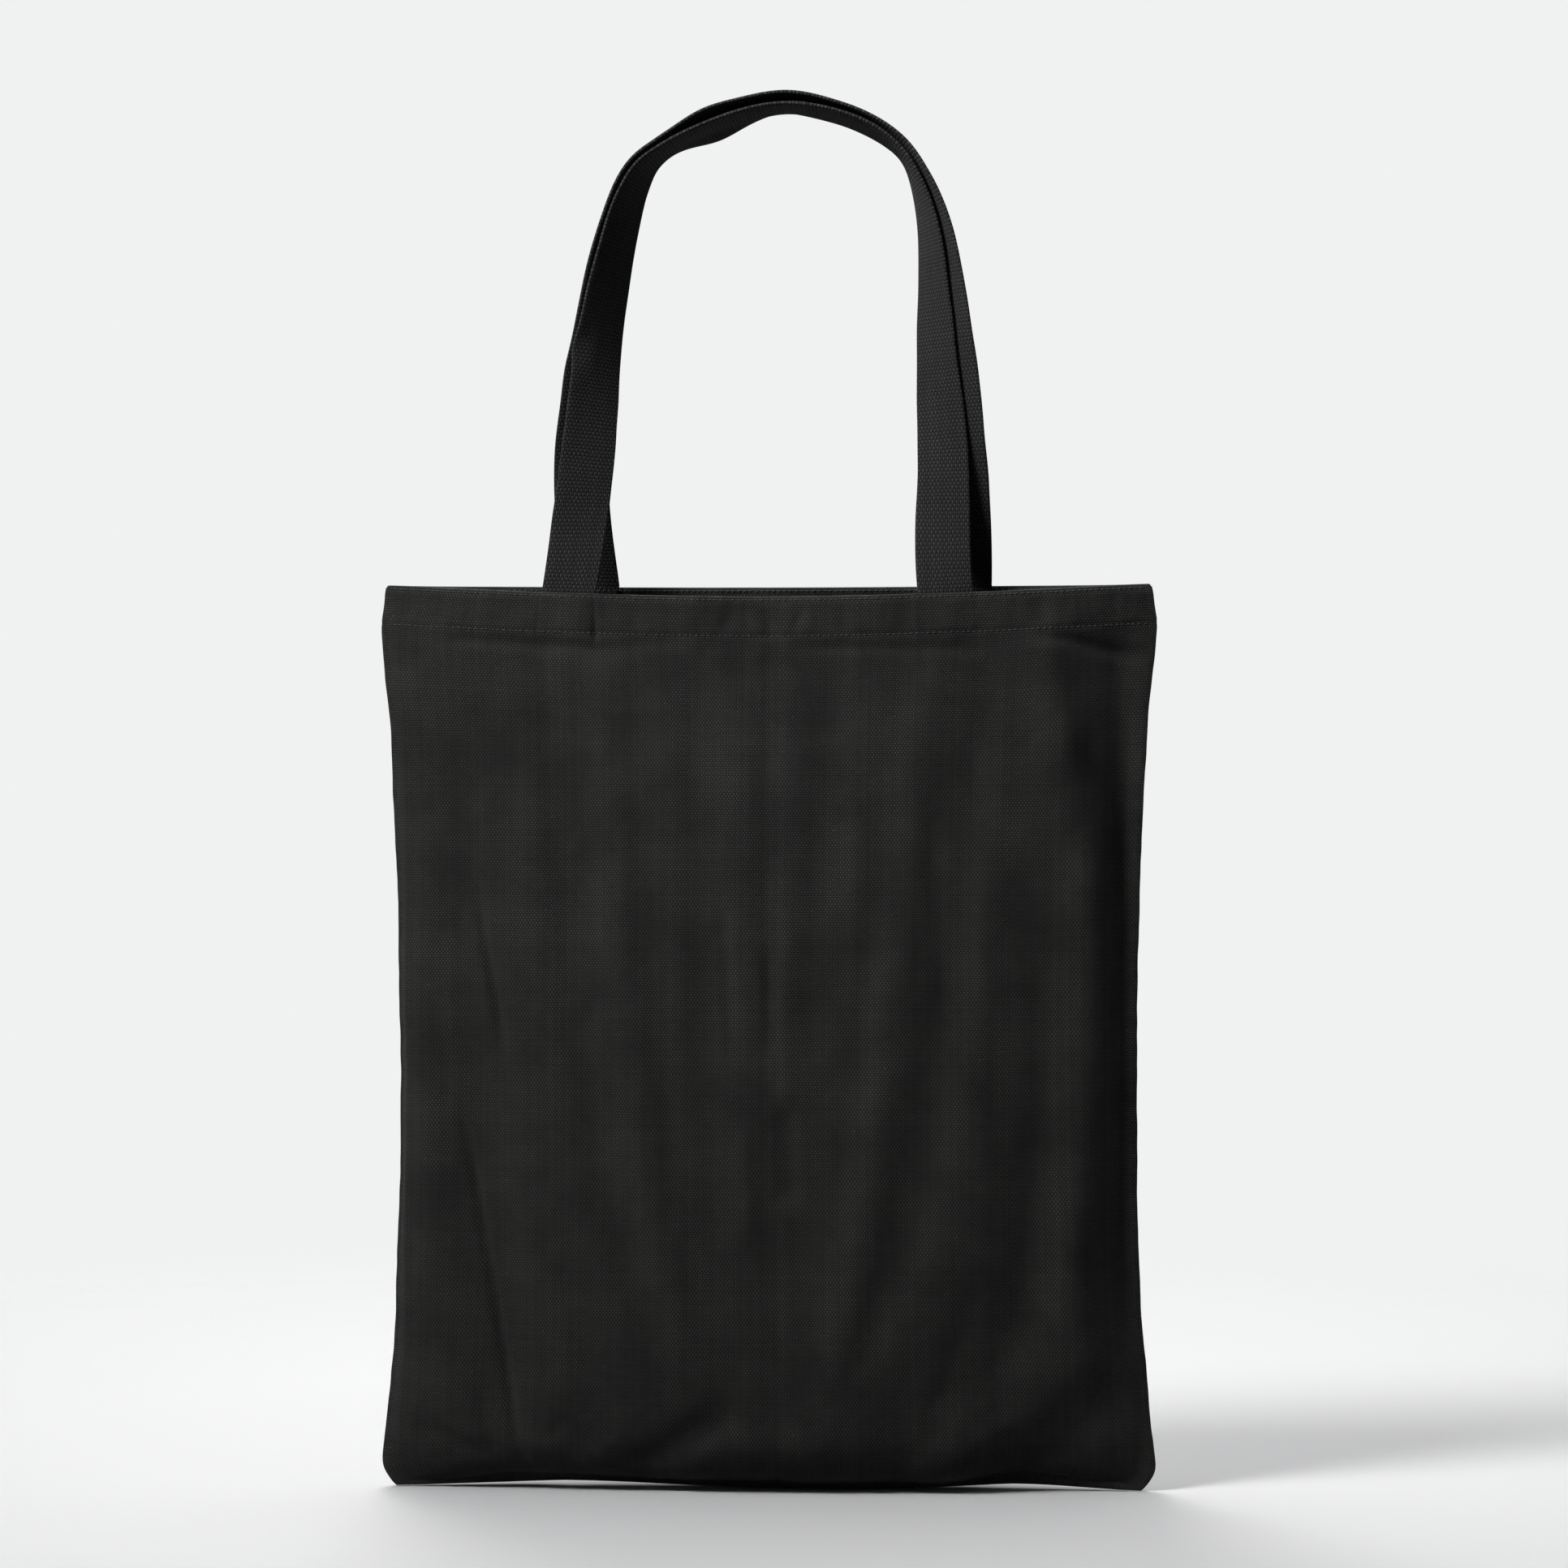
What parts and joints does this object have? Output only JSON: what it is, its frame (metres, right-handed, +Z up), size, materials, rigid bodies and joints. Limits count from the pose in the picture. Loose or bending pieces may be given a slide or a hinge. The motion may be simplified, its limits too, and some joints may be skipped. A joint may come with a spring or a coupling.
{
  "type": "canvas tote bag",
  "caption": "Flat canvas tote bag, lightly filled and standing, with a turned-in stitched hem and webbing handles that stand up or fold down over the rim.",
  "frame": {"origin": "on the floor, under the middle of the bag", "axes": "+Z up along the bag's height, +X to the right of the front panel along its width, +Y from the front panel to the back panel"},
  "size_m": [0.3504, 0.0844, 0.6297],
  "materials": {
    "canvas_black": "matte plain-weave cotton canvas",
    "webbing_black": "matte coarse-woven cotton webbing",
    "thread_black": "twisted sewing thread"
  },
  "bodies": {
    "bag": {"front_panel": "canvas_black", "front_hem": "canvas_black", "front_handle_left_end": "webbing_black", "front_handle_right_end": "webbing_black", "front_rim_stitching": "thread_black", "front_hem_stitching": "thread_black", "back_panel": "canvas_black", "back_hem": "canvas_black", "back_handle_left_end": "webbing_black", "back_handle_right_end": "webbing_black", "back_rim_stitching": "thread_black", "back_hem_stitching": "thread_black", "left_seam_allowance": "canvas_black", "left_seam_stitching": "thread_black", "left_seam_overlock": "thread_black", "right_seam_allowance": "canvas_black", "right_seam_stitching": "thread_black", "right_seam_overlock": "thread_black", "bottom_seam_allowance": "canvas_black", "bottom_seam_stitching": "thread_black", "bottom_seam_overlock": "thread_black"},
    "front_loop": {"front_handle": "webbing_black"},
    "back_loop": {"back_handle": "webbing_black"}
  },
  "joints": [
    {"name": "front_handle_fold", "type": "hinge", "parent": "bag", "child": "front_loop", "pos_m": [0, -0.0182, 0.4065], "axis": [1, 0, 0], "range_deg": [0, 172]},
    {"name": "back_handle_fold", "type": "hinge", "parent": "bag", "child": "back_loop", "pos_m": [0, 0.0182, 0.4065], "axis": [-1, 0, 0], "range_deg": [0, 172]}
  ]
}
